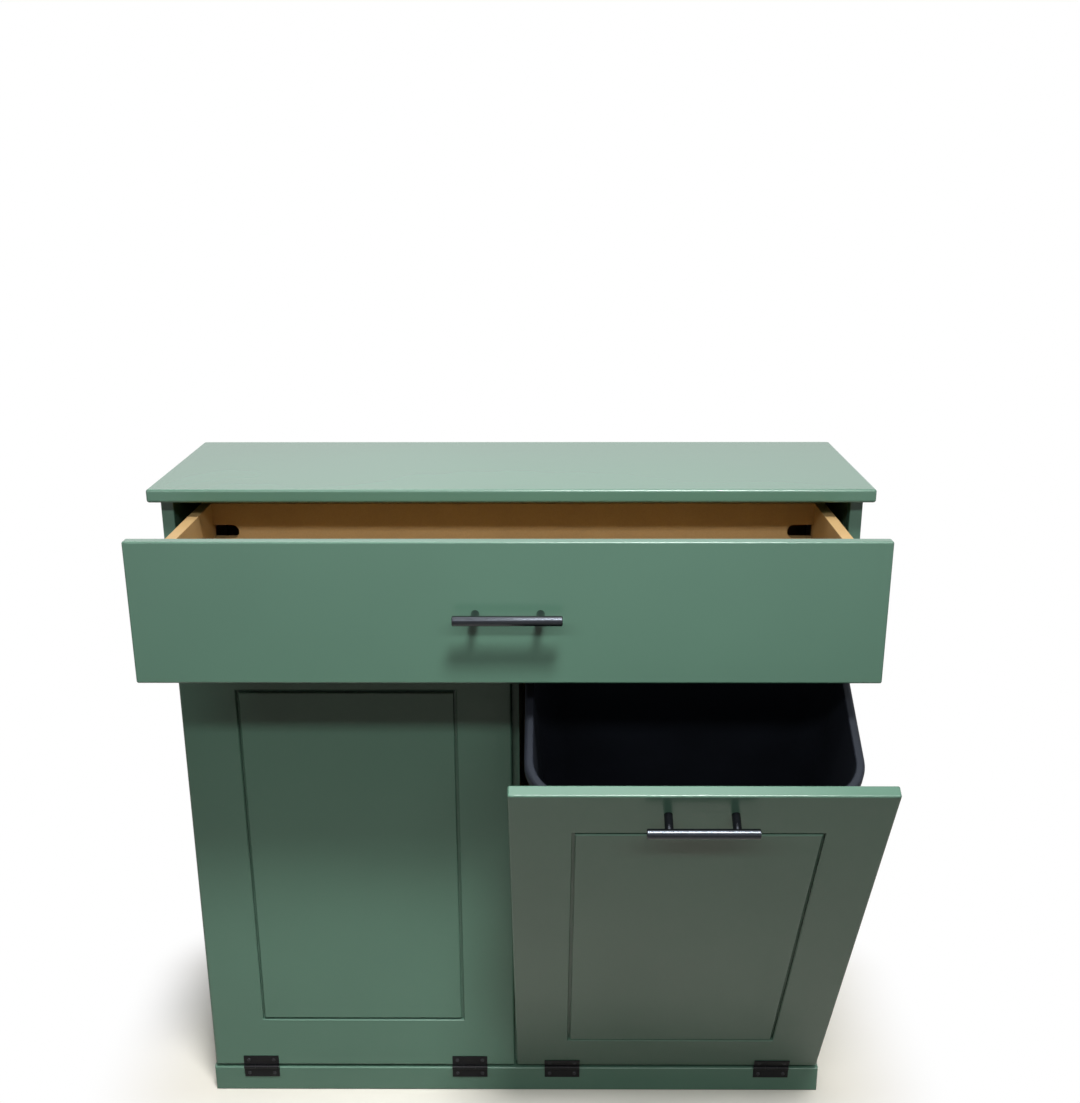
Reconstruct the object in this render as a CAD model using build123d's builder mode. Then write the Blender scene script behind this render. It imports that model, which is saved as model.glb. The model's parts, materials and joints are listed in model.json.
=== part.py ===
"""Trash bin cabinet: a lacquered cabinet with one wide drawer over two tilt-out bins.

Millimetres. The origin is on the floor under the middle of the carcass, +X to the right as seen
from the front, +Y to the back and +Z up. The pieces stand as in use: the drawer pulled out part
of the way, the left bin shut and the right bin tilted open against its stops.
"""
import os
from math import cos, radians, sin

from build123d import *

os.makedirs("parts", exist_ok=True)

# Carcass
cabinet_width = 890.0
cabinet_height = 902.0
carcass_depth = 292.0
panel_thickness = 16.0
panel_round = 1.0
top_thickness = 17.0
top_round = 3.5
top_side_overhang = 10.4
top_front_overhang = 26.8
back_thickness = 6.0
back_reveal = 2.0
back_floor_gap = 12.0
floor_panel_height = 14.0
drawer_rail_depth = 60.0
drawer_rail_gap = 4.0
back_rail_height = 80.0

# Fronts: two doors and a drawer front, in one plane with the base rail
front_thickness = 16.0
front_round = 2.5
rail_height = 39.5
rail_side_reveal = 1.8
door_spacing = 3.0
door_side_reveal = 5.6
hinge_gap = 4.3
drawer_gap = 2.4
drawer_front_height = 172.8
drawer_side_reveal = 3.3
drawer_top_gap = 7.5
bumper_height = 1.5
bumper_radius = 2.5
bumper_inset = 30.0

# Routed groove in each door, measured to its middle line
groove_side_inset = 74.9
groove_bottom_inset = 78.9
groove_top_inset = 72.5
groove_width = 3.0
groove_depth = 6.0
groove_bevel = 1.2

# Drawer box
drawer_out = 170.6
drawer_box_inset = 35.6
drawer_box_depth = 245.0
drawer_box_height = 120.0
drawer_box_drop = 13.0
drawer_board = 14.0
drawer_bottom_thickness = 6.0
drawer_bottom_raise = 10.0
drawer_groove_depth = 6.0
drawer_groove_play = 0.2
slot_drop = 28.5
slot_length = 34.0
slot_height = 18.0

# Drawer slides, three nested steel channels on each side
slide_length = 238.0
slide_height = 45.0
slide_space = 13.0
slide_wall = 1.3
slide_play = 0.4
slide_setback = 3.0
slide_drop = 52.0
packer_height = 60.0

# Bar pulls
pull_length = 127.0
pull_spacing = 76.2
pull_bar_radius = 6.0
pull_end_bevel = 0.8
pull_post_radius = 5.0
pull_reach = 26.5
pull_drop = 34.0
pull_play = 0.05
spigot_radius = 2.5
spigot_depth = 3.0
pull_screw_radius = 2.0
pull_screw_bite = 9.0
pull_screw_head_radius = 4.0
pull_screw_head_height = 2.4

# Butt hinges, two to a door
hinge_width = 51.0
hinge_inset = 66.0
leaf_height = 17.5
leaf_thickness = 1.5
knuckle_radius = 2.75
knuckle_gap = 0.3
knuckle_share = 17.0
pin_radius = 1.5
pin_play = 0.05
leaf_screw_spacing = 36.5
leaf_screw_height = 11.2
leaf_screw_radius = 1.4
leaf_screw_length = 13.0
leaf_screw_head_radius = 2.7
leaf_screw_head_height = 0.8
screw_play = 0.05

# Bins: a can on a tray behind each door
bin_tilt = 28.3
tray_side_play = 6.5
tray_depth = 253.0
tray_thickness = 12.0
tray_clearance = 2.0
cheek_thickness = 12.0
cheek_rear_height = 86.0
cheek_front_height = 290.0
cheek_front_depth = 35.0
cheek_step_depth = 90.0
cheek_round = 8.0
rear_rail_thickness = 12.0
rear_rail_height = 70.0
cleat_length = 60.0
cleat_height = 24.0
cleat_rear_inset = 12.0
cleat_play = 0.5
can_rim_depth = 236.0
can_rim_radius = 66.0
can_rear_radius = 40.0
can_rim_drop = 58.0
can_rim_height = 14.0
can_rim_overhang = 8.0
can_rim_round = 5.0
can_rim_inner_round = 2.0
can_front_gap = 17.0
can_wall = 3.0
can_taper_side = 27.0
can_taper_depth = 22.0
can_foot_radius = 45.0
can_foot_round = 8.0

# Levels and planes that several pieces share
underside = cabinet_height - top_thickness
front_face = -(bumper_height + front_thickness)
front_back = -bumper_height
drawer_front_top = underside - drawer_top_gap
drawer_front_bottom = drawer_front_top - drawer_front_height
door_bottom = rail_height + hinge_gap
door_top = drawer_front_bottom - drawer_gap
door_height = door_top - door_bottom
door_width = (cabinet_width - door_spacing) / 2 - door_side_reveal
door_centre = (door_width + door_spacing) / 2
drawer_rail_bottom = door_top + drawer_rail_gap
inner_half_width = cabinet_width / 2 - panel_thickness
panel_depth = carcass_depth - back_thickness
box_half_width = cabinet_width / 2 - drawer_box_inset
box_top = drawer_front_top - drawer_box_drop
box_bottom = box_top - drawer_box_height
box_inner_half_width = box_half_width - drawer_board
slide_level = box_top - slide_drop - slide_height / 2
hinge_depth = front_face - knuckle_radius
hinge_level = rail_height + hinge_gap / 2
hinge_offset = door_width / 2 - hinge_inset
tray_width = 2 * (inner_half_width - tray_side_play - door_centre)
tray_bottom = hinge_gap / 2 + tray_clearance
tray_top = tray_bottom + tray_thickness
door_back = knuckle_radius + front_thickness
tray_rear = door_back + tray_depth
cheek_top = tray_top + cheek_rear_height
cheek_inner = tray_width / 2 - cheek_thickness
can_top = hinge_gap / 2 + door_height - can_rim_drop
can_middle = door_back + can_front_gap + can_rim_depth / 2
can_rim_width = tray_width
can_wall_width = can_rim_width - 2 * can_rim_overhang
can_wall_depth = can_rim_depth - 2 * can_rim_overhang
pull_level_drawer = drawer_front_height / 2
pull_level_door = door_height - pull_drop
groove_across = door_width - 2 * groove_side_inset
groove_tall = door_height - groove_bottom_inset - groove_top_inset
groove_middle = groove_bottom_inset + groove_tall / 2

# Frames: each starts on the carcass's front plane, or on a bin's hinge axis
front_plane_y = -carcass_depth / 2
cabinet = Plane((0, front_plane_y, 0))
drawer = Plane((0, front_plane_y - drawer_out, 0))
slide_middles = Plane((0, front_plane_y - drawer_out / 2, 0))


def bin_frame(side, tilt):
    """Frame of the bin on one side: origin on its hinge axis, z up along its door."""
    angle = radians(tilt)
    axis_point = (side * door_centre, front_plane_y + hinge_depth, hinge_level)
    return Plane(axis_point, x_dir=(1, 0, 0), z_dir=(0, -sin(angle), cos(angle)))


def facing_front(frame, depth):
    """Plane parallel to the fronts at a depth in a frame: x right, y up, normal to the front."""
    origin = frame.from_local_coords(Vector(0, depth, 0))
    return Plane(origin, x_dir=frame.x_dir, z_dir=-frame.y_dir)


def facing_right(frame, across):
    """Plane square to a frame's x axis: x to the back, y up, normal to the right."""
    origin = frame.from_local_coords(Vector(across, 0, 0))
    return Plane(origin, x_dir=frame.y_dir, z_dir=frame.x_dir)


def save(piece, name):
    """Labels a finished piece and writes it as its own node."""
    piece.part.label = name
    export_step(piece.part, f"parts/{name}.step")


def upright_board(frame, name, across, depth, levels, thickness):
    """Board standing on edge, parallel to the fronts: spans two x values and two levels."""
    left, right = across
    low, high = levels
    with BuildPart() as board:
        with BuildSketch(facing_front(frame, depth)):
            with Locations(((left + right) / 2, (low + high) / 2)):
                Rectangle(right - left, high - low)
        extrude(amount=-thickness)
    save(board, name)


def flat_board(frame, name, across, depths, level, thickness):
    """Board lying flat: spans two x values and two depths, and rises from a level."""
    left, right = across
    near, far = depths
    with BuildPart() as board:
        with BuildSketch(frame.offset(level)):
            with Locations(((left + right) / 2, (near + far) / 2)):
                Rectangle(right - left, far - near)
        extrude(amount=thickness)
    save(board, name)


def pull(frame, name, level, backing):
    """Bar pull on a front: the bar, its two posts and the screws that hold them from behind."""
    post_places = [(-pull_spacing / 2, level), (pull_spacing / 2, level)]
    face = facing_front(frame, 0)
    bar_plane = facing_front(frame, -pull_reach)
    bar_start = facing_right(frame, -pull_length / 2)

    with BuildPart() as bar:
        with BuildSketch(bar_start):
            with Locations((-pull_reach, level)):
                Circle(pull_bar_radius)
        extrude(amount=pull_length)
        chamfer(bar.edges(), pull_end_bevel)
        with BuildSketch(bar_plane):
            with Locations(*post_places):
                Circle(spigot_radius + pull_play)
        extrude(amount=-pull_bar_radius, mode=Mode.SUBTRACT)
    save(bar, f"{name}_pull_bar")

    with BuildPart() as posts:
        with BuildSketch(face):
            with Locations(*post_places):
                Circle(pull_post_radius)
        extrude(amount=pull_reach)
        with BuildSketch(bar_start):
            with Locations((-pull_reach, level)):
                Circle(pull_bar_radius + pull_play)
        extrude(amount=pull_length, mode=Mode.SUBTRACT)
        with BuildSketch(face):
            with Locations(*post_places):
                Circle(spigot_radius)
        extrude(amount=pull_reach - pull_bar_radius + spigot_depth)
        with BuildSketch(face):
            with Locations(*post_places):
                Circle(pull_screw_radius + screw_play)
        extrude(amount=pull_screw_bite + screw_play, mode=Mode.SUBTRACT)
    save(posts, f"{name}_pull_posts")

    with BuildPart() as screws:
        with BuildSketch(facing_front(frame, backing)):
            with Locations(*post_places):
                Circle(pull_screw_radius)
        extrude(amount=backing + pull_screw_bite)
        with BuildSketch(facing_front(frame, backing)):
            with Locations(*post_places):
                Circle(pull_screw_head_radius)
        extrude(amount=-pull_screw_head_height)
    save(screws, f"{name}_pull_screws")


def pull_screw_holes(frame, level):
    """Outline of the holes for a pull's screws, on the face of a front."""
    with BuildSketch(facing_front(frame, 0)) as holes:
        with Locations((-pull_spacing / 2, level), (pull_spacing / 2, level)):
            Circle(pull_screw_radius + screw_play)
    return holes.sketch


def groove_outline(frame, width):
    """Outline of a door's groove, or of its bevelled mouth, as a ring of one width on the face."""
    with BuildSketch(facing_front(frame, 0)) as ring:
        with Locations((0, groove_middle)):
            Rectangle(groove_across + width, groove_tall + width)
            Rectangle(groove_across - width, groove_tall - width, mode=Mode.SUBTRACT)
    return ring.sketch


def can_outline(width, depth, front_radius, rear_radius):
    """Plan of a can at one level: a rectangle with its own radius at the front and rear corners."""
    with BuildSketch() as outline:
        Rectangle(width, depth)
        fillet(outline.vertices().sort_by(Axis.Y)[:2], front_radius)
        fillet(outline.vertices().sort_by(Axis.Y)[-2:], rear_radius)
    return outline.sketch


def bumpers(frame, name, places):
    """Soft dots on the back of a front, which meet the carcass when it is shut."""
    with BuildPart() as dots:
        with BuildSketch(frame):
            with Locations(*places):
                Circle(bumper_radius)
        extrude(amount=-bumper_height)
    save(dots, name)


def leaf_screw_places(level):
    """Where the screws of both of a bin's hinge leaves go, at one level from the axis."""
    halves = (-leaf_screw_spacing / 2, leaf_screw_spacing / 2)
    return [(side * hinge_offset + half, level) for side in (-1, 1) for half in halves]


def hinge_leaves(frame, name, up, tongues):
    """A bin's two upper (up 1) or lower (up -1) leaves, with knuckles along the given tongues."""
    face = facing_front(frame, knuckle_radius)
    plate_start = knuckle_radius + knuckle_gap
    plate_height = leaf_height - plate_start
    with BuildPart() as leaves:
        for side in (-1, 1):
            middle = side * hinge_offset
            with BuildSketch(face):
                with Locations((middle, up * (plate_start + plate_height / 2))):
                    Rectangle(hinge_width, plate_height)
                for start, end in tongues:
                    with Locations((middle + (start + end) / 2, up * plate_start / 2)):
                        Rectangle(end - start, plate_start)
            extrude(amount=leaf_thickness)
            for start, end in tongues:
                with BuildSketch(facing_right(frame, middle + start)):
                    Circle(knuckle_radius)
                extrude(amount=end - start)
        with BuildSketch(facing_right(frame, -door_width / 2)):
            Circle(pin_radius + pin_play)
        extrude(amount=door_width, mode=Mode.SUBTRACT)
        with BuildSketch(face):
            with Locations(*leaf_screw_places(up * leaf_screw_height)):
                Circle(leaf_screw_radius + screw_play)
        extrude(amount=leaf_thickness, mode=Mode.SUBTRACT)
    save(leaves, name)


def leaf_screws(frames, name, up):
    """Screws of the hinge leaves in one or more bin frames: low round heads on the leaf."""
    with BuildPart() as screws:
        for frame in frames:
            with BuildSketch(facing_front(frame, knuckle_radius - leaf_thickness)):
                with Locations(*leaf_screw_places(up * leaf_screw_height)):
                    Circle(leaf_screw_radius)
            extrude(amount=-leaf_screw_length)
            with BuildSketch(facing_front(frame, knuckle_radius - leaf_thickness)):
                with Locations(*leaf_screw_places(up * leaf_screw_height)):
                    Circle(leaf_screw_head_radius)
            extrude(amount=leaf_screw_head_height)
    save(screws, name)


def leaf_screw_holes(frame, up):
    """Outline of the pilot holes for hinge screws, on the face of a door or of the rail."""
    with BuildSketch(facing_front(frame, knuckle_radius)) as holes:
        with Locations(*leaf_screw_places(up * leaf_screw_height)):
            Circle(leaf_screw_radius + screw_play)
    return holes.sketch


def slide_channel(frame, name, side, plate_x, lip_x, height):
    """One member of a drawer slide: a plate at plate_x with a lip along its top and bottom."""
    depth = abs(lip_x - plate_x)
    inward = 1 if lip_x > plate_x else -1
    with BuildPart() as channel:
        with BuildSketch(facing_front(frame, slide_setback)):
            with Locations((side * (plate_x + lip_x) / 2, slide_level)):
                Rectangle(depth, height)
            with Locations((side * (plate_x + lip_x + inward * slide_wall) / 2, slide_level)):
                Rectangle(depth - slide_wall, height - 2 * slide_wall, mode=Mode.SUBTRACT)
        extrude(amount=-slide_length)
    save(channel, name)


# Carcass panels

with BuildPart() as top_panel:
    with BuildSketch(cabinet.offset(underside)):
        with Locations((0, (carcass_depth - top_front_overhang) / 2)):
            Rectangle(cabinet_width + 2 * top_side_overhang, carcass_depth + top_front_overhang)
    extrude(amount=top_thickness)
    fillet(top_panel.edges(), top_round)
save(top_panel, "top_panel")

for side, name in ((-1, "left"), (1, "right")):
    with BuildPart() as side_panel:
        with BuildSketch(facing_right(cabinet, side * cabinet_width / 2)):
            with Locations((panel_depth / 2, underside / 2)):
                Rectangle(panel_depth, underside)
        extrude(amount=-side * panel_thickness)
        fillet(side_panel.faces().sort_by(Axis.Y)[0].edges().filter_by(Axis.Z), panel_round)
    save(side_panel, f"{name}_side_panel")

with BuildPart() as centre_divider:
    with BuildSketch(facing_right(cabinet, -panel_thickness / 2)):
        with Locations((panel_depth / 2, drawer_rail_bottom / 2)):
            Rectangle(panel_depth, drawer_rail_bottom)
    extrude(amount=panel_thickness)
save(centre_divider, "centre_divider")

for side, name in ((-1, "left"), (1, "right")):
    bay = sorted((side * panel_thickness / 2, side * inner_half_width))
    flat_board(cabinet, f"{name}_floor_panel", bay, (0, panel_depth), floor_panel_height, panel_thickness)

flat_board(cabinet, "drawer_rail", (-inner_half_width, inner_half_width), (0, drawer_rail_depth),
           drawer_rail_bottom, panel_thickness)
upright_board(cabinet, "back_rail", (-inner_half_width, inner_half_width), panel_depth - panel_thickness,
              (underside - back_rail_height, underside), panel_thickness)
back_half_width = cabinet_width / 2 - back_reveal
upright_board(cabinet, "back_panel", (-back_half_width, back_half_width), panel_depth,
              (back_floor_gap, underside), back_thickness)

shut_bins = [bin_frame(side, 0) for side in (-1, 1)]
with BuildPart() as base_rail:
    with BuildSketch(facing_front(cabinet, front_face)):
        with Locations((0, rail_height / 2)):
            Rectangle(cabinet_width - 2 * rail_side_reveal, rail_height)
    extrude(amount=front_face)
    fillet(base_rail.faces().sort_by(Axis.Y)[0].edges(), front_round)
    for shut_bin in shut_bins:
        extrude(leaf_screw_holes(shut_bin, -1), amount=-leaf_screw_length, mode=Mode.SUBTRACT)
save(base_rail, "base_rail")

# Drawer slides: cabinet members on packers, drawer members on the box, middle members between

plate_outer = box_half_width + slide_space
middle_outer = plate_outer - slide_wall - slide_play
drawer_lip = middle_outer - slide_wall - slide_play
middle_height = slide_height - 2 * (slide_wall + slide_play)
inner_height = middle_height - 2 * (slide_wall + slide_play)
cabinet_lip = box_half_width + slide_wall + 2 * slide_play
for side, name in ((-1, "left"), (1, "right")):
    packer_span = sorted((side * plate_outer, side * inner_half_width))
    upright_board(cabinet, f"{name}_slide_packer", packer_span, slide_setback,
                  (slide_level - packer_height / 2, slide_level + packer_height / 2), slide_length)
    slide_channel(cabinet, f"{name}_slide_cabinet_member", side, plate_outer, cabinet_lip, slide_height)
    slide_channel(slide_middles, f"{name}_slide_middle_member", side, middle_outer, cabinet_lip,
                  middle_height)
    slide_channel(drawer, f"{name}_slide_drawer_member", side, box_half_width, drawer_lip, inner_height)

# Drawer

drawer_face = Plane(drawer.from_local_coords(Vector(0, front_face, drawer_front_bottom)))
with BuildPart() as drawer_front:
    with BuildSketch(facing_front(drawer, front_face)):
        with Locations((0, drawer_front_bottom + drawer_front_height / 2)):
            Rectangle(cabinet_width - 2 * drawer_side_reveal, drawer_front_height)
    extrude(amount=-front_thickness)
    fillet(drawer_front.edges(), front_round)
    extrude(pull_screw_holes(drawer_face, pull_level_drawer), amount=-front_thickness, mode=Mode.SUBTRACT)
save(drawer_front, "drawer_front")

drawer_backing = front_thickness + drawer_board
box_near = front_back
box_far = front_back + drawer_box_depth
groove_level = box_bottom + drawer_bottom_raise
with BuildPart() as bottom_groove:
    with BuildSketch(drawer.offset(groove_level - drawer_groove_play)):
        with Locations((0, (box_near + box_far) / 2)):
            Rectangle(2 * (box_inner_half_width + drawer_groove_depth),
                      drawer_box_depth - 2 * (drawer_board - drawer_groove_depth))
    extrude(amount=drawer_bottom_thickness + 2 * drawer_groove_play)

bottom_reach = drawer_groove_depth - drawer_groove_play
bottom_half_width = box_inner_half_width + bottom_reach
flat_board(drawer, "drawer_bottom", (-bottom_half_width, bottom_half_width),
           (box_near + drawer_board - bottom_reach, box_far - drawer_board + bottom_reach),
           groove_level, drawer_bottom_thickness)

for side, name in ((-1, "left"), (1, "right")):
    with BuildPart() as box_side:
        with BuildSketch(facing_right(drawer, side * box_half_width)):
            with Locations(((box_near + box_far) / 2, box_bottom + drawer_box_height / 2)):
                Rectangle(drawer_box_depth, drawer_box_height)
        extrude(amount=-side * drawer_board)
        fillet(box_side.faces().sort_by(Axis.Z)[-1].edges().filter_by(Axis.Y), panel_round)
        add(bottom_groove.part, mode=Mode.SUBTRACT)
    save(box_side, f"drawer_{name}_side")

with BuildPart() as inner_front:
    with BuildSketch(facing_front(drawer, box_near)):
        with Locations((0, box_bottom + drawer_box_height / 2)):
            Rectangle(2 * box_inner_half_width, drawer_box_height)
    extrude(amount=-drawer_board)
    add(bottom_groove.part, mode=Mode.SUBTRACT)
    extrude(pull_screw_holes(drawer_face, pull_level_drawer), amount=-drawer_backing, mode=Mode.SUBTRACT)
save(inner_front, "drawer_inner_front")

slot_level = box_top - slot_drop - slot_height / 2
with BuildPart() as box_back:
    with BuildSketch(facing_front(drawer, box_far - drawer_board)):
        with Locations((0, box_bottom + drawer_box_height / 2)):
            Rectangle(2 * box_inner_half_width, drawer_box_height)
        with Locations((-box_inner_half_width, slot_level), (box_inner_half_width, slot_level)):
            SlotOverall(2 * slot_length, slot_height, mode=Mode.SUBTRACT)
    extrude(amount=-drawer_board)
    add(bottom_groove.part, mode=Mode.SUBTRACT)
save(box_back, "drawer_back")

pull(drawer_face, "drawer", pull_level_drawer, drawer_backing)
panel_edge = inner_half_width + 2 * bumper_radius
bumpers(facing_front(drawer, front_back), "drawer_bumpers",
        [(side * panel_edge, drawer_front_bottom + bumper_inset) for side in (-1, 1)])

# Bins: door, tray and can, each built in its own frame

for side, name, tilt in ((-1, "left_bin", 0.0), (1, "right_bin", bin_tilt)):
    frame = bin_frame(side, tilt)
    door_face = Plane(frame.from_local_coords(Vector(0, knuckle_radius, hinge_gap / 2)),
                      x_dir=frame.x_dir, z_dir=frame.z_dir)

    with BuildPart() as door:
        with BuildSketch(facing_front(door_face, 0)):
            with Locations((0, door_height / 2)):
                Rectangle(door_width, door_height)
        extrude(amount=-front_thickness)
        fillet(door.edges(), front_round)
        extrude(groove_outline(door_face, groove_width), amount=-groove_depth, mode=Mode.SUBTRACT)
        mouth = groove_outline(door_face, groove_width + 2 * groove_bevel)
        extrude(mouth, amount=-groove_bevel, taper=45, mode=Mode.SUBTRACT)
        extrude(pull_screw_holes(door_face, pull_level_door), amount=-front_thickness, mode=Mode.SUBTRACT)
        extrude(leaf_screw_holes(frame, 1), amount=-leaf_screw_length, mode=Mode.SUBTRACT)
    save(door, f"{name}_door")
    pull(door_face, name, pull_level_door, front_thickness)

    edge_outer = side * (panel_edge - door_centre)
    edge_divider = side * (door_spacing / 2 + front_round + bumper_radius - door_centre)
    dot_levels = (bumper_inset, door_height - bumper_inset)
    bumpers(facing_front(door_face, front_thickness), f"{name}_door_bumpers",
            [(x, level) for x in (edge_outer, edge_divider) for level in dot_levels])

    flat_board(frame, f"{name}_tray_board", (-tray_width / 2, tray_width / 2), (door_back, tray_rear),
               tray_bottom, tray_thickness)
    upright_board(frame, f"{name}_tray_rear_rail", (-cheek_inner, cheek_inner),
                  tray_rear - rear_rail_thickness, (tray_top, tray_top + rear_rail_height),
                  rear_rail_thickness)
    for cheek_side, cheek_name in ((-1, "left"), (1, "right")):
        with BuildPart() as cheek:
            with BuildSketch(facing_right(frame, cheek_side * cheek_inner)):
                with BuildLine():
                    Polyline(
                        (door_back, tray_top),
                        (tray_rear, tray_top),
                        (tray_rear, cheek_top),
                        (door_back + cheek_step_depth, cheek_top),
                        (door_back + cheek_front_depth, tray_top + cheek_front_height),
                        (door_back, tray_top + cheek_front_height),
                        close=True,
                    )
                make_face()
            extrude(amount=cheek_side * cheek_thickness)
            rear_corner = cheek.edges().filter_by(Axis.X).sort_by(Axis((0, 0, 0), frame.y_dir))[-2:]
            fillet(rear_corner.sort_by(Axis((0, 0, 0), frame.z_dir))[-1], cheek_round)
        save(cheek, f"{name}_{cheek_name}_cheek")

    with BuildPart() as can:
        for inset in (0, can_wall):
            mode = Mode.SUBTRACT if inset else Mode.ADD
            with BuildSketch(frame.offset(tray_top + inset)):
                with Locations((0, can_middle)):
                    RectangleRounded(can_wall_width - 2 * can_taper_side - 2 * inset,
                                     can_wall_depth - 2 * can_taper_depth - 2 * inset,
                                     can_foot_radius - inset)
            with BuildSketch(frame.offset(can_top)):
                with Locations((0, can_middle)):
                    add(can_outline(can_wall_width - 2 * inset, can_wall_depth - 2 * inset,
                                    can_rim_radius - can_rim_overhang - inset,
                                    can_rear_radius - can_rim_overhang - inset))
            loft(mode=mode)
        with BuildSketch(frame.offset(can_top - can_rim_height)):
            with Locations((0, can_middle)):
                add(can_outline(can_rim_width, can_rim_depth, can_rim_radius, can_rear_radius))
                add(can_outline(can_wall_width - can_wall, can_wall_depth - can_wall,
                                can_rim_radius - can_rim_overhang - can_wall / 2,
                                can_rear_radius - can_rim_overhang - can_wall / 2), mode=Mode.SUBTRACT)
        extrude(amount=can_rim_height)
        up_the_can = Axis((0, 0, 0), frame.z_dir)
        rim_face = can.faces().sort_by(up_the_can)[-1]
        fillet(rim_face.outer_wire().edges(), can_rim_round)
        rim_face = can.faces().sort_by(up_the_can)[-1]
        fillet(rim_face.inner_wires()[0].edges(), can_rim_inner_round)
        foot_face = can.faces().sort_by(up_the_can)[0]
        fillet(foot_face.outer_wire().edges(), can_foot_round)
    save(can, f"{name}_can")

    hinge_leaves(frame, f"{name}_upper_leaves", 1, [(-knuckle_share / 2, knuckle_share / 2)])
    leaf_screws([frame], f"{name}_upper_leaf_screws", 1)

    shut_bin = bin_frame(side, 0)
    outer_start = knuckle_share / 2 + knuckle_gap
    hinge_leaves(shut_bin, f"{name}_lower_leaves", -1,
                 [(-hinge_width / 2, -outer_start), (outer_start, hinge_width / 2)])

    open_bin = bin_frame(side, bin_tilt)
    divider_wall = side * (panel_thickness / 2 - door_centre)
    outer_wall = side * (inner_half_width - door_centre)
    with BuildPart() as cleats:
        for wall in (divider_wall, outer_wall):
            inner_edge = cheek_inner if wall > 0 else -cheek_inner
            with BuildSketch(open_bin.offset(cheek_top + cleat_play)):
                with Locations(((wall + inner_edge) / 2, tray_rear - cleat_rear_inset - cleat_length / 2)):
                    Rectangle(abs(wall - inner_edge), cleat_length)
            extrude(amount=cleat_height)
    save(cleats, f"{name}_stop_cleats")

leaf_screws(shut_bins, "lower_leaf_screws", -1)

with BuildPart() as hinge_pins:
    for shut_bin in shut_bins:
        for side in (-1, 1):
            with BuildSketch(facing_right(shut_bin, side * hinge_offset - hinge_width / 2)):
                Circle(pin_radius)
            extrude(amount=hinge_width)
save(hinge_pins, "hinge_pins")
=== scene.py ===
"""Looks of the trash bin cabinet: finishes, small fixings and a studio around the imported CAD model.

Metres, in the CAD frame: origin on the floor under the middle of the carcass, +X to the right as
seen from the front, +Y to the back and +Z up.
"""
import json
import math

import bmesh
import bpy
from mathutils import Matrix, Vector

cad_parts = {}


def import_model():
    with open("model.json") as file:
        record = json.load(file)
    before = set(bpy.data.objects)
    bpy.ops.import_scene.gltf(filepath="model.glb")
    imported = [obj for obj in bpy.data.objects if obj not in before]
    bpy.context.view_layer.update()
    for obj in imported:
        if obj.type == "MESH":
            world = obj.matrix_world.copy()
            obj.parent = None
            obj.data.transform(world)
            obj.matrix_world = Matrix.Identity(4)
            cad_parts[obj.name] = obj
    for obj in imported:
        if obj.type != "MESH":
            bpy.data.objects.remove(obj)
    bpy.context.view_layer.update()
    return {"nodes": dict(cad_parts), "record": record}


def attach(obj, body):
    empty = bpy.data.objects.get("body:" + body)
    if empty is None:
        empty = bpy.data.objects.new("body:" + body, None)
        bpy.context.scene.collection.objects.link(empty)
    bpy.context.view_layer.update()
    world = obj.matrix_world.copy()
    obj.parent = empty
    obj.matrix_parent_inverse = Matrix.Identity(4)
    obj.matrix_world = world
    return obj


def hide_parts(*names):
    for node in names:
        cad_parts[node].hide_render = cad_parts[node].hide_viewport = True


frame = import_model()
nodes = frame["nodes"]
scene = bpy.context.scene

MM = 0.001
WHITE = (1.0, 1.0, 1.0, 1.0)


# Colour and node helpers

def srgb(hex_colour):
    """Linear RGBA of an sRGB hex colour such as "5a7d6b"."""
    channels = [int(hex_colour[i:i + 2], 16) / 255 for i in (0, 2, 4)]
    linear = [c / 12.92 if c <= 0.04045 else ((c + 0.055) / 1.055) ** 2.4 for c in channels]
    return (*linear, 1.0)


def add(tree, kind, settings=None, **links):
    """Adds one node: settings are its own properties, links its inputs, as values or sockets.

    An input goes by its name, with _ for a space, or by _ and its number.
    """
    node = tree.nodes.new(kind)
    for name, value in (settings or {}).items():
        setattr(node, name, value)
    for name, value in links.items():
        socket = node.inputs[int(name[1:])] if name[1:].isdigit() else node.inputs[name.replace("_", " ")]
        if isinstance(value, bpy.types.NodeSocket):
            tree.links.new(value, socket)
        else:
            socket.default_value = value
    return node


def new_material(name):
    """A new material and its tree, still empty."""
    material = bpy.data.materials.new(name)
    material.use_nodes = True
    material.node_tree.nodes.clear()
    return material, material.node_tree


def close(tree, shader):
    """Joins the finished shader to the material's output."""
    add(tree, "ShaderNodeOutputMaterial", Surface=shader.outputs[0])


def per_mm(size):
    """Noise scale whose features are about this many millimetres wide."""
    return 1.0 / (size * MM)


# Settings of nodes that recur: a mix of two colours (inputs 0, 6 and 7) and steps of arithmetic
COLOURS = {"data_type": "RGBA"}
MULTIPLY = {"operation": "MULTIPLY"}
LARGER = {"operation": "MAXIMUM"}
SMOOTH = {"interpolation_type": "SMOOTHSTEP"}


# Finishes

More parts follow.
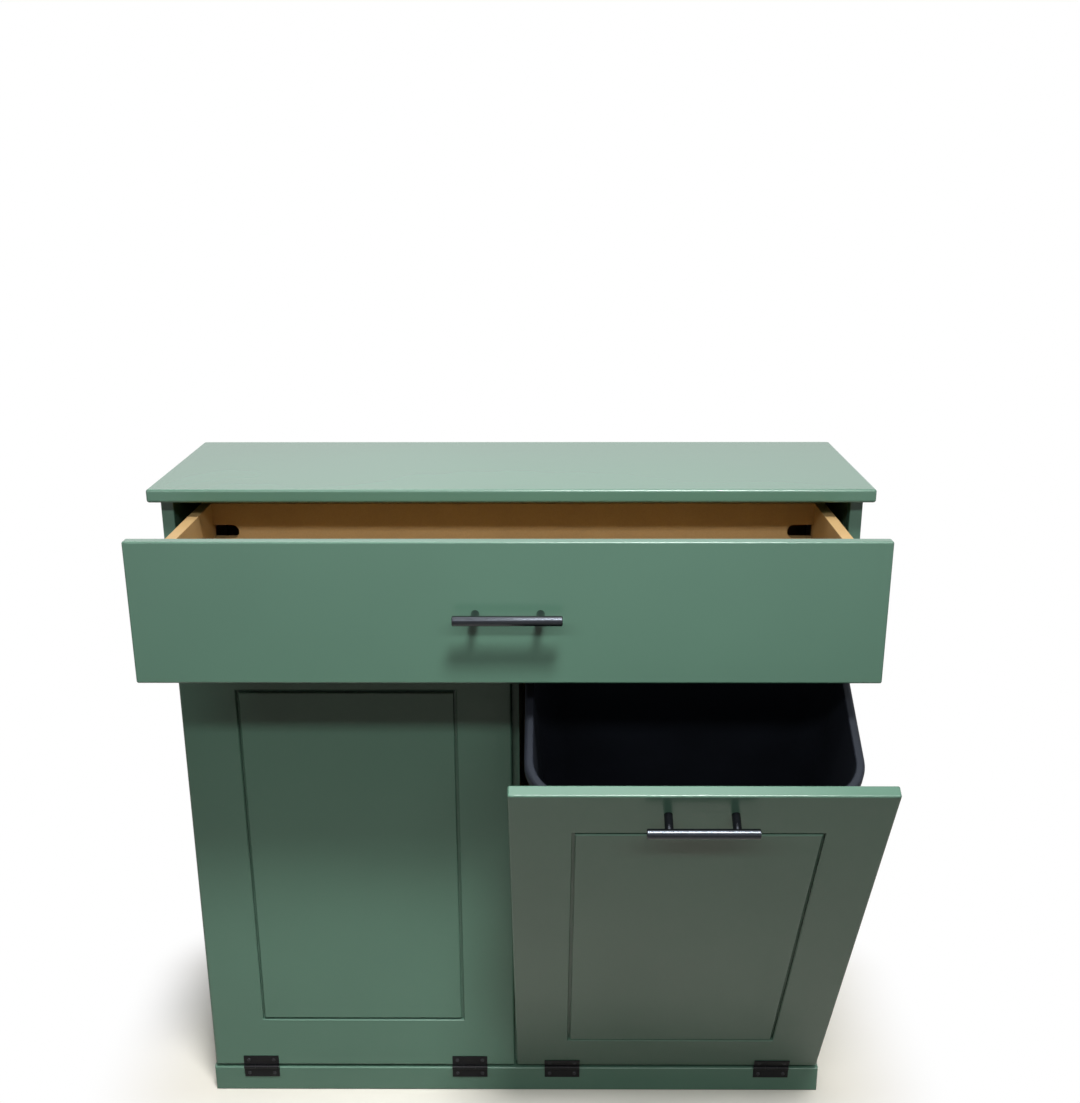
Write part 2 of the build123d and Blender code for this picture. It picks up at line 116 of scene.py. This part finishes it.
def satin_lacquer():
    """Satin lacquer sprayed on fibreboard: an even green with a soft sheen.

    The faint orange peel of a spray gun breaks up what it mirrors.
    """
    material, tree = new_material("satin_lacquer_on_fibreboard")
    place = add(tree, "ShaderNodeTexCoord").outputs["Object"]
    cloud = add(tree, "ShaderNodeTexNoise", Vector=place, Scale=per_mm(180), Detail=2.0).outputs["Fac"]
    peel = add(tree, "ShaderNodeTexNoise", Vector=place, Scale=per_mm(2.4), Detail=2.0).outputs["Fac"]
    colour = add(tree, "ShaderNodeMix", COLOURS, _0=cloud, _6=srgb("4e6f5f"), _7=srgb("537564"))
    sheen = add(tree, "ShaderNodeMapRange", Value=cloud, To_Min=0.21, To_Max=0.26)
    bump = add(tree, "ShaderNodeBump", Strength=0.03, Distance=0.1 * MM, Height=peel)
    close(tree, add(tree, "ShaderNodeBsdfPrincipled", Base_Color=colour.outputs[2], IOR=1.44,
                    Roughness=sheen.outputs[0], Normal=bump.outputs[0]))
    return material


def bare_fibreboard():
    """Uncoated MDF: warm tan, a fleck of pressed fibre and a dry, matt surface."""
    material, tree = new_material("bare_fibreboard")
    place = add(tree, "ShaderNodeTexCoord").outputs["Object"]
    fleck = add(tree, "ShaderNodeTexNoise", Vector=place, Scale=per_mm(2.0), Detail=5.0,
                Roughness=0.7).outputs["Fac"]
    stain = add(tree, "ShaderNodeTexNoise", Vector=place, Scale=per_mm(60), Detail=3.0).outputs["Fac"]
    board = add(tree, "ShaderNodeMix", COLOURS, _0=stain, _6=srgb("937549"), _7=srgb("b19160"))
    fibre = add(tree, "ShaderNodeMix", COLOURS, _0=fleck, _6=srgb("8d7046"), _7=srgb("c2a574"))
    colour = add(tree, "ShaderNodeMix", COLOURS, _0=0.45, _6=board.outputs[2], _7=fibre.outputs[2])
    dry = add(tree, "ShaderNodeMapRange", Value=fleck, To_Min=0.55, To_Max=0.75)
    bump = add(tree, "ShaderNodeBump", Strength=0.25, Distance=0.15 * MM, Height=fleck)
    close(tree, add(tree, "ShaderNodeBsdfPrincipled", Base_Color=colour.outputs[2], IOR=1.45,
                    Roughness=dry.outputs[0], Normal=bump.outputs[0]))
    return material


def hardboard():
    """Hardboard back: dark brown pressed fibre with a slight polish on its smooth side."""
    material, tree = new_material("hardboard")
    place = add(tree, "ShaderNodeTexCoord").outputs["Object"]
    fibre = add(tree, "ShaderNodeTexNoise", Vector=place, Scale=per_mm(4.0), Detail=6.0,
                Roughness=0.7).outputs["Fac"]
    patch = add(tree, "ShaderNodeTexNoise", Vector=place, Scale=per_mm(140), Detail=3.0).outputs["Fac"]
    board = add(tree, "ShaderNodeMix", COLOURS, _0=patch, _6=srgb("6b4a2c"), _7=srgb("86613c"))
    strand = add(tree, "ShaderNodeMix", COLOURS, _0=fibre, _6=srgb("5f4126"), _7=srgb("98734d"))
    colour = add(tree, "ShaderNodeMix", COLOURS, _0=0.5, _6=board.outputs[2], _7=strand.outputs[2])
    polish = add(tree, "ShaderNodeMapRange", Value=fibre, To_Min=0.45, To_Max=0.62)
    bump = add(tree, "ShaderNodeBump", Strength=0.2, Distance=0.15 * MM, Height=fibre)
    close(tree, add(tree, "ShaderNodeBsdfPrincipled", Base_Color=colour.outputs[2], IOR=1.45,
                    Roughness=polish.outputs[0], Normal=bump.outputs[0]))
    return material


def black_polypropylene():
    """Moulded polypropylene: near black, a waxy sheen, and the spark grain of the mould.

    Real spark grain is a few tenths of a millimetre wide. It is drawn coarser here, so that it shows.
    """
    material, tree = new_material("black_polypropylene")
    place = add(tree, "ShaderNodeTexCoord").outputs["Object"]
    grain = add(tree, "ShaderNodeTexNoise", Vector=place, Scale=per_mm(1.2), Detail=3.0).outputs["Fac"]
    rub = add(tree, "ShaderNodeTexNoise", Vector=place, Scale=per_mm(70), Detail=4.0).outputs["Fac"]
    colour = add(tree, "ShaderNodeMix", COLOURS, _0=rub, _6=srgb("0f1116"), _7=srgb("191c24"))
    waxy = add(tree, "ShaderNodeMapRange", Value=rub, To_Min=0.55, To_Max=0.68)
    bump = add(tree, "ShaderNodeBump", Strength=0.3, Distance=0.12 * MM, Height=grain)
    close(tree, add(tree, "ShaderNodeBsdfPrincipled", Base_Color=colour.outputs[2], IOR=1.36,
                    Specular_Tint=srgb("dfeaf8"), Roughness=waxy.outputs[0], Normal=bump.outputs[0]))
    return material


def black_powder_coat():
    """Powder coated steel: satin black, a fine pebbled skin and one cool, soft highlight along each bar."""
    material, tree = new_material("black_powder_coat")
    place = add(tree, "ShaderNodeTexCoord").outputs["Object"]
    pebble = add(tree, "ShaderNodeTexNoise", Vector=place, Scale=per_mm(0.7), Detail=2.0).outputs["Fac"]
    colour = add(tree, "ShaderNodeMix", COLOURS, _0=pebble, _6=srgb("070709"), _7=srgb("0e0e12"))
    satin = add(tree, "ShaderNodeMapRange", Value=pebble, To_Min=0.15, To_Max=0.19)
    bump = add(tree, "ShaderNodeBump", Strength=0.03, Distance=0.03 * MM, Height=pebble)
    close(tree, add(tree, "ShaderNodeBsdfPrincipled", Base_Color=colour.outputs[2], IOR=1.53,
                    Specular_Tint=srgb("dde8f8"), Roughness=satin.outputs[0], Normal=bump.outputs[0]))
    return material


def black_electrocoat():
    """Electrocoat on hinge leaves: a thin black film, duller than the pulls.

    The grain of the rolled sheet shows through it along X. It is drawn coarser than real, so that it shows.
    """
    material, tree = new_material("black_electrocoat_on_steel")
    place = add(tree, "ShaderNodeTexCoord").outputs["Object"]
    rolled = add(tree, "ShaderNodeVectorMath", MULTIPLY, _0=place, _1=(0.1, 1.0, 1.0)).outputs[0]
    film = add(tree, "ShaderNodeTexNoise", Vector=rolled, Scale=per_mm(1.2), Detail=3.0).outputs["Fac"]
    colour = add(tree, "ShaderNodeMix", COLOURS, _0=film, _6=srgb("0a0a0c"), _7=srgb("141417"))
    dull = add(tree, "ShaderNodeMapRange", Value=film, To_Min=0.40, To_Max=0.55)
    bump = add(tree, "ShaderNodeBump", Strength=0.15, Distance=0.03 * MM, Height=film)
    close(tree, add(tree, "ShaderNodeBsdfPrincipled", Base_Color=colour.outputs[2], IOR=1.25,
                    Roughness=dull.outputs[0], Normal=bump.outputs[0]))
    return material


def black_oxide_steel():
    """Black oxide screws: dark steel with a little shine where the driver has turned."""
    material, tree = new_material("black_oxide_steel")
    place = add(tree, "ShaderNodeTexCoord").outputs["Object"]
    rub = add(tree, "ShaderNodeTexNoise", Vector=place, Scale=per_mm(1.5), Detail=3.0).outputs["Fac"]
    colour = add(tree, "ShaderNodeMix", COLOURS, _0=rub, _6=srgb("161618"), _7=srgb("3f4044"))
    worn = add(tree, "ShaderNodeMapRange", Value=rub, To_Min=0.32, To_Max=0.5)
    close(tree, add(tree, "ShaderNodeBsdfPrincipled", Base_Color=colour.outputs[2], Metallic=0.8,
                    Roughness=worn.outputs[0]))
    return material


def zinc_plated_steel():
    """Zinc plated slides: pale grey, drawn along their length, with a slightly blue cast."""
    material, tree = new_material("zinc_plated_steel")
    place = add(tree, "ShaderNodeTexCoord").outputs["Object"]
    drawn = add(tree, "ShaderNodeVectorMath", MULTIPLY, _0=place, _1=(1.0, 0.02, 1.0)).outputs[0]
    streak = add(tree, "ShaderNodeTexNoise", Vector=drawn, Scale=per_mm(0.9), Detail=3.0).outputs["Fac"]
    colour = add(tree, "ShaderNodeMix", COLOURS, _0=streak, _6=srgb("9fa4a9"), _7=srgb("d0d3d7"))
    drawing = add(tree, "ShaderNodeMapRange", Value=streak, To_Min=0.26, To_Max=0.44)
    close(tree, add(tree, "ShaderNodeBsdfPrincipled", Base_Color=colour.outputs[2], Metallic=1.0,
                    Roughness=drawing.outputs[0]))
    return material


def clear_polyurethane():
    """Polyurethane bumper dots: soft, pale and milky, with light passing a little way in."""
    material, tree = new_material("clear_polyurethane")
    place = add(tree, "ShaderNodeTexCoord").outputs["Object"]
    haze = add(tree, "ShaderNodeTexNoise", Vector=place, Scale=per_mm(2.0)).outputs["Fac"]
    colour = add(tree, "ShaderNodeMix", COLOURS, _0=haze, _6=srgb("c4c6bf"), _7=srgb("dcded8"))
    close(tree, add(tree, "ShaderNodeBsdfPrincipled", Base_Color=colour.outputs[2], IOR=1.5, Roughness=0.25,
                    Subsurface_Weight=0.3))
    return material


# Finish of each material slot in the record. The hinge leaves have the pulls' slot and their own finish.
FINISHES = {
    "green_lacquer": satin_lacquer(),
    "bare_board": bare_fibreboard(),
    "back_board": hardboard(),
    "black_polypropylene": black_polypropylene(),
    "black_metal": black_powder_coat(),
    "dark_screw_steel": black_oxide_steel(),
    "zinc_steel": zinc_plated_steel(),
    "bumper_rubber": clear_polyurethane(),
}
HINGE_FINISH = black_electrocoat()

for part in frame["record"]["subparts"]:
    mesh = nodes[part["node"]].data
    mesh.materials.clear()
    finish = HINGE_FINISH if part["node"].endswith("_leaves") else FINISHES[part["material_slot"]]
    mesh.materials.append(finish)


# Fixings that the CAD model holds as plain cylinders, turned here with their real heads

joints = {joint["name"]: joint for joint in frame["record"]["behaviour"]["joints"]}
TILT = math.radians(-joints["right_bin_tilt"]["range_deg"][0])   # the right bin rests open
FORWARD = {body: Vector((0.0, -1.0, 0.0)) for body in ("cabinet", "drawer", "left_bin")}
FORWARD["right_bin"] = Vector((0.0, -math.cos(TILT), -math.sin(TILT)))

SEGMENTS = 48                      # steps round a turned solid
CLEARANCE = 0.05                   # mm that a fixing stops short of what it meets when the fronts are shut
WELD = 0.001                       # mm within which two corners of a CAD node are one
SCREW_TURN = 0.6                   # radians from each screw's recess to the next, as a driver leaves them
SHARP_ANGLE = math.radians(35)     # edges sharper than this stay crisp
LEAST_SINE = 1e-6                  # keeps a division off nought


def islands(node):
    """Points of each separate body in a CAD node."""
    shape = bmesh.new()
    shape.from_mesh(nodes[node].data)
    bmesh.ops.remove_doubles(shape, verts=shape.verts, dist=WELD * MM)
    left = set(shape.verts)
    groups = []
    while left:
        reach = [left.pop()]
        points = []
        while reach:
            vert = reach.pop()
            points.append(vert.co.copy())
            near = [edge.other_vert(vert) for edge in vert.link_edges]
            fresh = [other for other in near if other in left]
            left.difference_update(fresh)
            reach.extend(fresh)
        groups.append(points)
    shape.free()
    return groups


def cross(angle, arm, half_width):
    """Distance from the middle to the edge of a cross recess, in one direction."""
    off_arm = abs((angle + math.pi / 4) % (math.pi / 2) - math.pi / 4)
    return min(arm / math.cos(off_arm), half_width / max(math.sin(off_arm), LEAST_SINE))


def turned(shape, foot, outward, profile, turn):
    """Adds a turned solid from rings of (height, radius), or (height, arm, half width) for a cross."""
    side = Vector((1.0, 0.0, 0.0))
    up = outward.cross(side)
    rings = []
    for height, *size in profile:
        ring = []
        for step in range(SEGMENTS):
            angle = 2 * math.pi * step / SEGMENTS
            radius = size[0] if len(size) == 1 else cross(angle, *size)
            spoke = side * math.cos(angle + turn) + up * math.sin(angle + turn)
            ring.append(shape.verts.new(foot + (outward * height + spoke * radius) * MM))
        rings.append(ring)
    for low, high in zip(rings, rings[1:]):
        for step in range(SEGMENTS):
            after = (step + 1) % SEGMENTS
            shape.faces.new((low[step], low[after], high[after], high[step]))
    shape.faces.new(reversed(rings[0]))
    shape.faces.new(rings[-1])


def fixings(node, body, slot_name, outward, head, shank=()):
    """Replaces a CAD node: one turned solid for each of its bodies.

    The head's heights are measured from its seat, the shank's from its far end.
    """
    shape = bmesh.new()
    head_height = max(height for height, *size in head)
    for number, points in enumerate(islands(node)):
        middle = sum(points, Vector()) / len(points)
        top = max(point.dot(outward) for point in points) - CLEARANCE * MM
        end = min(point.dot(outward) for point in points)
        foot = middle + outward * (top - head_height * MM - middle.dot(outward))
        length = (top - end) / MM - head_height
        stem = [(height - length, radius) for height, radius in shank]
        turned(shape, foot, outward, stem + head, SCREW_TURN * number)
    mesh = bpy.data.meshes.new(f"{node}_turned")
    bmesh.ops.recalc_face_normals(shape, faces=shape.faces)
    shape.to_mesh(mesh)
    shape.free()
    mesh.shade_smooth()
    mesh.set_sharp_from_angle(angle=SHARP_ANGLE)
    mesh.materials.append(FINISHES[slot_name])
    piece = bpy.data.objects.new(f"{node}_turned", mesh)
    scene.collection.objects.link(piece)
    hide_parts(node)
    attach(piece, body)


# Profiles in mm, from the inner end outwards. A head ends in the mouth and the floor of its cross recess.
LEAF_SCREW = [(0.0, 1.4), (0.0, 2.7), (0.22, 2.7), (0.46, 2.5), (0.68, 2.08), (0.8, 1.72),
              (0.8, 1.45, 0.36), (0.3, 1.1, 0.28)]
LEAF_SHANK = [(0.0, 0.25), (2.6, 1.4)]
PULL_SCREW = [(0.0, 2.0), (0.0, 4.0), (0.9, 4.0), (1.6, 3.72), (2.15, 3.1), (2.4, 2.5),
              (2.4, 2.1, 0.5), (1.2, 1.6, 0.4)]
PULL_SHANK = [(0.0, 1.6), (0.4, 2.0)]
BUMPER = [(0.0, 2.5), (0.45, 2.5), (0.9, 2.3), (1.25, 1.8), (1.44, 1.0), (1.5, 0.3)]

fixings("lower_leaf_screws", "cabinet", "dark_screw_steel", FORWARD["cabinet"], LEAF_SCREW, LEAF_SHANK)
for body in ("left_bin", "right_bin"):
    fixings(f"{body}_upper_leaf_screws", body, "dark_screw_steel", FORWARD[body], LEAF_SCREW, LEAF_SHANK)
    fixings(f"{body}_pull_screws", body, "dark_screw_steel", -FORWARD[body], PULL_SCREW, PULL_SHANK)
    fixings(f"{body}_door_bumpers", body, "bumper_rubber", -FORWARD[body], BUMPER)
fixings("drawer_pull_screws", "drawer", "dark_screw_steel", -FORWARD["drawer"], PULL_SCREW, PULL_SHANK)
fixings("drawer_bumpers", "drawer", "bumper_rubber", -FORWARD["drawer"], BUMPER)


# Studio: pale floor, white backdrop, four soft lamps and a low fill from all round

FOOTPRINT = (0.445, 0.146, 0.0)    # half the carcass's width and depth, on the floor
SEEN_FADE = (0.0, 0.20)            # metres from the carcass over which the camera sees it pass into white
MIRROR_FADE = (1.4, 4.0)           # the same in a reflection, so that the doors still mirror the floor
FLOOR_RADIUS = 30.0
FLOOR_SIDES = 64
FILL_STRENGTH = 0.02
NO_GRID = 180.0                    # degrees of spread of a bare softbox


def backdrop_rays(tree):
    """1 for what the camera sees directly, in a reflection or through something clear; otherwise 0."""
    path = add(tree, "ShaderNodeLightPath")
    direct = add(tree, "ShaderNodeMath", LARGER, _0=path.outputs["Is Camera Ray"],
                 _1=path.outputs["Is Glossy Ray"])
    return add(tree, "ShaderNodeMath", LARGER, _0=direct.outputs[0],
               _1=path.outputs["Is Transmission Ray"]).outputs[0]


def pale_floor():
    """Matt pale floor that takes the cabinet's shadow and passes into the white backdrop further out.

    The light that it throws back on the cabinet comes from a darker tint.
    """
    material, tree = new_material("pale_studio_floor")
    place = add(tree, "ShaderNodeTexCoord").outputs["Object"]
    folded = add(tree, "ShaderNodeVectorMath", {"operation": "ABSOLUTE"}, _0=place).outputs[0]
    past = add(tree, "ShaderNodeVectorMath", {"operation": "SUBTRACT"}, _0=folded, _1=FOOTPRINT).outputs[0]
    outside = add(tree, "ShaderNodeVectorMath", LARGER, _0=past, _1=(0.0, 0.0, 0.0)).outputs[0]
    away = add(tree, "ShaderNodeVectorMath", {"operation": "LENGTH"}, _0=outside).outputs["Value"]
    seen_fade, mirror_fade = (
        add(tree, "ShaderNodeMapRange", SMOOTH, Value=away, From_Min=start, From_Max=end).outputs[0]
        for start, end in (SEEN_FADE, MIRROR_FADE))
    direct = add(tree, "ShaderNodeLightPath").outputs["Is Camera Ray"]
    seen = backdrop_rays(tree)
    reach = add(tree, "ShaderNodeMix", {"data_type": "FLOAT"}, _0=direct, _2=mirror_fade,
                _3=seen_fade).outputs[0]
    fade = add(tree, "ShaderNodeMath", MULTIPLY, _0=reach, _1=seen).outputs[0]
    tint = add(tree, "ShaderNodeMix", COLOURS, _0=seen, _6=srgb("564e46"), _7=srgb("d9d5cb"))
    matt = add(tree, "ShaderNodeBsdfDiffuse", Color=tint.outputs[2])
    white = add(tree, "ShaderNodeEmission", Color=WHITE, Strength=1.0)
    close(tree, add(tree, "ShaderNodeMixShader", _0=fade, _1=matt.outputs[0], _2=white.outputs[0]))
    return material


def floor():
    """Flat round floor, wide enough to reach the horizon in every view."""
    mesh = bpy.data.meshes.new("studio_floor")
    shape = bmesh.new()
    bmesh.ops.create_circle(shape, cap_ends=True, segments=FLOOR_SIDES, radius=FLOOR_RADIUS)
    shape.to_mesh(mesh)
    shape.free()
    mesh.materials.append(pale_floor())
    slab = bpy.data.objects.new("studio_floor", mesh)
    scene.collection.objects.link(slab)


def world():
    """Low fill light all round, with a white backdrop for the camera and for reflections."""
    studio = bpy.data.worlds.new("studio")
    scene.world = studio
    studio.use_nodes = True
    tree = studio.node_tree
    tree.nodes.clear()
    fill = add(tree, "ShaderNodeBackground", Color=srgb("f4f6f8"), Strength=FILL_STRENGTH)
    white = add(tree, "ShaderNodeBackground", Color=WHITE, Strength=1.0)
    mix = add(tree, "ShaderNodeMixShader", _0=backdrop_rays(tree), _1=fill.outputs[0], _2=white.outputs[0])
    add(tree, "ShaderNodeOutputWorld", Surface=mix.outputs[0])


def lamp(name, place, aim, size, watts, spread):
    """Rectangular softbox at a place, turned to face an aim point; spread is the angle its grid lets out."""
    data = bpy.data.lights.new(name, "AREA")
    data.shape = "RECTANGLE"
    data.size, data.size_y = size
    data.energy = watts
    data.spread = math.radians(spread)
    softbox = bpy.data.objects.new(name, data)
    softbox.location = place
    softbox.rotation_euler = (Vector(aim) - Vector(place)).to_track_quat("-Z", "Y").to_euler()
    scene.collection.objects.link(softbox)


def camera():
    """Camera of the photograph: well above the cabinet, looking down, with the view shifted up."""
    image_side = 1103
    focal_pixels = 1390.2
    axis_row = 690.0
    place = (0.0475, -1.8766, 1.2807)
    turn_degrees = (69.267, 0.091, 0.347)
    data = bpy.data.cameras.new("photo_camera")
    data.sensor_fit = "AUTO"
    data.sensor_width = 36.0
    data.lens = focal_pixels / image_side * data.sensor_width
    data.shift_y = (axis_row - image_side / 2) / image_side
    photo = bpy.data.objects.new("photo_camera", data)
    photo.location = place
    photo.rotation_euler = [math.radians(angle) for angle in turn_degrees]
    scene.collection.objects.link(photo)
    scene.camera = photo


floor()
world()
lamp("high_softbox", place=(0.45, -1.785, 3.80), aim=(0.0, -0.35, 0.60), size=(0.9, 0.60),
     watts=12.2, spread=46.0)
lamp("front_softbox", place=(0.0, -3.32, 2.92), aim=(0.0, -0.35, 0.50), size=(5.0, 0.26),
     watts=86.0, spread=NO_GRID)
lamp("overhead_softbox", place=(0.0, 0.05, 2.60), aim=(0.0, 0.05, 0.90), size=(1.4, 1.0),
     watts=14.8, spread=NO_GRID)
lamp("rear_softbox", place=(-0.9, 2.7, 2.9), aim=(0.0, 0.15, 0.45), size=(1.4, 1.0),
     watts=18.0, spread=NO_GRID)
camera()
scene.view_settings.view_transform = "Standard"
